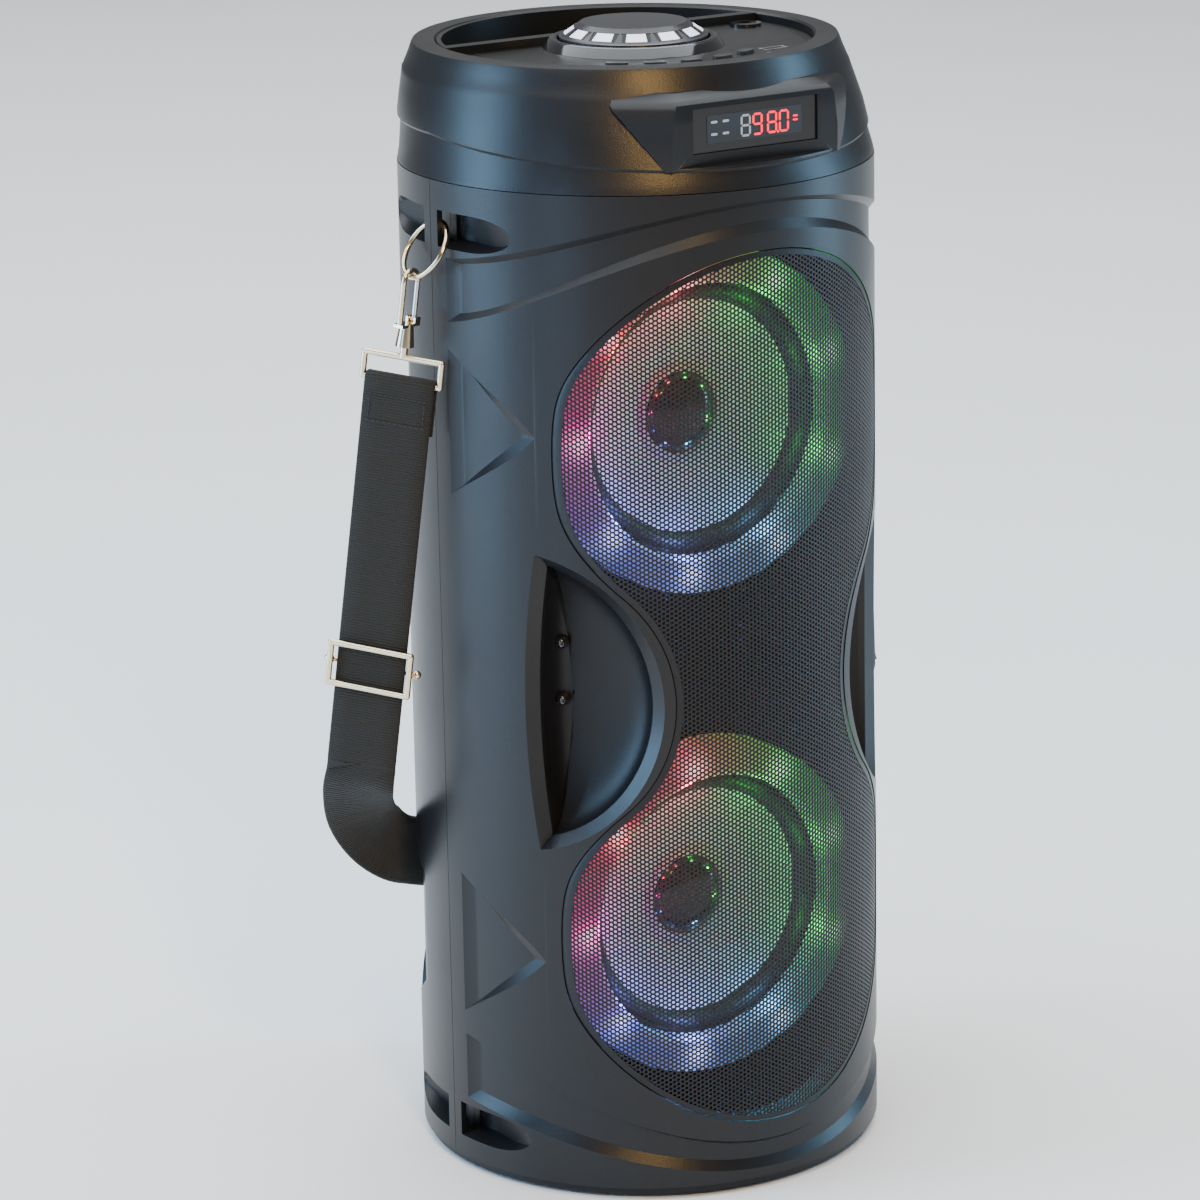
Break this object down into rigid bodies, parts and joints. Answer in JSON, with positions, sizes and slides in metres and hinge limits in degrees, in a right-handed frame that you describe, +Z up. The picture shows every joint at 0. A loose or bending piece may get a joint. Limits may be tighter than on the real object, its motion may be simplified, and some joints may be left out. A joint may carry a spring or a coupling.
{
  "type": "party speaker",
  "caption": "Round tower party speaker with lit drivers behind an hourglass grille, a control head with a turning knob, side handles and a clip-on strap.",
  "frame": {"origin": "centre of the round base, on the floor under the feet", "axes": "+Z up, the grille faces -Y, the plain strap side is -X"},
  "size_m": [0.3565, 0.261, 0.6074],
  "materials": {
    "shell_plastic": "fine-grained satin black plastic",
    "cap_plastic": "satin black plastic",
    "base_plastic": "matt black plastic",
    "feet_rubber": "matt black rubber",
    "baffle_board": "matt black board",
    "grille_steel": "black powder-coated perforated steel",
    "pocket_plastic": "matt black plastic",
    "panel_plastic": "satin black plastic",
    "window_glass": "smoked glossy window",
    "boards": "green circuit board",
    "basket_steel": "dark painted steel",
    "magnet_iron": "bare ferrite and steel",
    "cone_silver": "silver coated cone",
    "surround_rubber": "satin black rubber",
    "dust_cap_gloss": "glossy dark dome",
    "coil_copper": "enamelled copper wire",
    "spider_cloth": "impregnated cloth",
    "diffuser": "milky light guide",
    "led_board": "white circuit board",
    "knob_plastic": "satin black knob",
    "knob_windows": "lit translucent windows",
    "button_plastic": "satin black keys",
    "socket_plastic": "black socket",
    "socket_steel": "stamped steel",
    "battery_wrap": "dark wrapped cells",
    "screw_steel": "zinc-plated steel",
    "ring_gold": "champagne-gold plated wire",
    "hook_gold": "champagne-gold plated casting",
    "gate_steel": "sprung steel gate",
    "webbing_black": "ribbed black polyester webbing"
  },
  "bodies": {
    "cabinet": {"front_shell": "shell_plastic", "rear_shell": "shell_plastic", "top_cap": "cap_plastic", "base_plate": "base_plastic", "rubber_feet": "feet_rubber", "baffle": "baffle_board", "grille": "grille_steel", "handle_cup_left": "pocket_plastic", "handle_cup_right": "pocket_plastic", "control_panel": "panel_plastic", "display_window": "window_glass", "display_board": "boards", "control_board": "boards", "mic_socket": "socket_plastic", "usb_socket": "socket_steel", "card_socket": "socket_steel", "main_board": "boards", "battery_pack": "battery_wrap", "rear_panel": "base_plastic", "charge_socket": "socket_plastic", "port_tube": "pocket_plastic", "assembly_screws": "screw_steel", "ring_left": "ring_gold", "ring_right": "ring_gold", "upper_basket": "basket_steel", "upper_magnet": "magnet_iron", "upper_surround": "surround_rubber", "upper_spider": "spider_cloth", "upper_light_ring": "diffuser", "upper_light_board": "led_board", "lower_basket": "basket_steel", "lower_magnet": "magnet_iron", "lower_surround": "surround_rubber", "lower_spider": "spider_cloth", "lower_light_ring": "diffuser", "lower_light_board": "led_board"},
    "knob": {"knob": "knob_plastic", "knob_light_ring": "knob_windows"},
    "mode_key": {"mode_button": "button_plastic"},
    "previous_key": {"previous_button": "button_plastic"},
    "play_key": {"play_button": "button_plastic"},
    "next_key": {"next_button": "button_plastic"},
    "light_key": {"light_button": "button_plastic"},
    "upper_cone_body": {"upper_cone": "cone_silver", "upper_dust_cap": "dust_cap_gloss", "upper_voice_coil": "coil_copper"},
    "lower_cone_body": {"lower_cone": "cone_silver", "lower_dust_cap": "dust_cap_gloss", "lower_voice_coil": "coil_copper"},
    "rocker": {"power_switch": "socket_plastic"},
    "strap": {"strap_eye_left": "hook_gold", "strap_eye_right": "hook_gold", "webbing_left": "webbing_black", "webbing_right": "webbing_black", "webbing_back": "webbing_black"},
    "snap_hook_left": {"hook_left": "hook_gold"},
    "snap_hook_right": {"hook_right": "hook_gold"},
    "snap_gate_left": {"gate_left": "gate_steel"},
    "snap_gate_right": {"gate_right": "gate_steel"},
    "strap_slider": {"slider": "hook_gold"}
  },
  "joints": [
    {"name": "knob_turn", "type": "hinge", "parent": "cabinet", "child": "knob", "pos_m": [0, 0, 0.6], "axis": [0, 0, 1], "continuous": true},
    {"name": "mode_press", "type": "slide", "parent": "cabinet", "child": "mode_key", "axis": [0, 0, -1], "range_m": [0, 0.0008], "stiffness_N_per_m": 400, "springref_m": -0.002},
    {"name": "previous_press", "type": "slide", "parent": "cabinet", "child": "previous_key", "axis": [0, 0, -1], "range_m": [0, 0.0008], "stiffness_N_per_m": 400, "springref_m": -0.002},
    {"name": "play_press", "type": "slide", "parent": "cabinet", "child": "play_key", "axis": [0, 0, -1], "range_m": [0, 0.0008], "stiffness_N_per_m": 400, "springref_m": -0.002},
    {"name": "next_press", "type": "slide", "parent": "cabinet", "child": "next_key", "axis": [0, 0, -1], "range_m": [0, 0.0008], "stiffness_N_per_m": 400, "springref_m": -0.002},
    {"name": "light_press", "type": "slide", "parent": "cabinet", "child": "light_key", "axis": [0, 0, -1], "range_m": [0, 0.0008], "stiffness_N_per_m": 400, "springref_m": -0.002},
    {"name": "upper_cone_travel", "type": "slide", "parent": "cabinet", "child": "upper_cone_body", "axis": [0, -1, 0], "range_m": [-0.003, 0.003], "stiffness_N_per_m": 1500},
    {"name": "lower_cone_travel", "type": "slide", "parent": "cabinet", "child": "lower_cone_body", "axis": [0, -1, 0], "range_m": [-0.003, 0.003], "stiffness_N_per_m": 1500},
    {"name": "power_rock", "type": "hinge", "parent": "cabinet", "child": "rocker", "pos_m": [-0.0228, 0.112, 0.195], "axis": [1, 0, 0], "range_deg": [0, 8.5]},
    {"name": "strap_swing", "type": "hinge", "parent": "cabinet", "child": "strap", "pos_m": [0, -0.00052, 0.4921], "axis": [1, 0, 0], "range_deg": [0, 40]},
    {"name": "left_hook_swivel", "type": "hinge", "parent": "strap", "child": "snap_hook_left", "pos_m": [-0.1375, 0, 0.48615], "axis": [0.0932, -0.0872, 0.9918], "range_deg": [-60, 3]},
    {"name": "right_hook_swivel", "type": "hinge", "parent": "strap", "child": "snap_hook_right", "pos_m": [0.1375, 0, 0.48615], "axis": [0.0932, 0.0872, -0.9918], "range_deg": [-60, 3]},
    {"name": "left_gate_open", "type": "hinge", "parent": "snap_hook_left", "child": "snap_gate_left", "pos_m": [-0.13393, 0.0042, 0.46541], "axis": [0.3924, -0.9123, -0.1171], "range_deg": [0, 20], "stiffness_Nm_per_rad": 0.02, "springref_deg": -20.05},
    {"name": "right_gate_open", "type": "hinge", "parent": "snap_hook_right", "child": "snap_gate_right", "pos_m": [0.13393, 0.0042, 0.46541], "axis": [0.3924, 0.9123, 0.1171], "range_deg": [0, 20], "stiffness_Nm_per_rad": 0.02, "springref_deg": -20.05},
    {"name": "slider_slide", "type": "slide", "parent": "strap", "child": "strap_slider", "axis": [0.0932, -0.0872, 0.9918], "range_m": [-0.02, 0.02]}
  ]
}
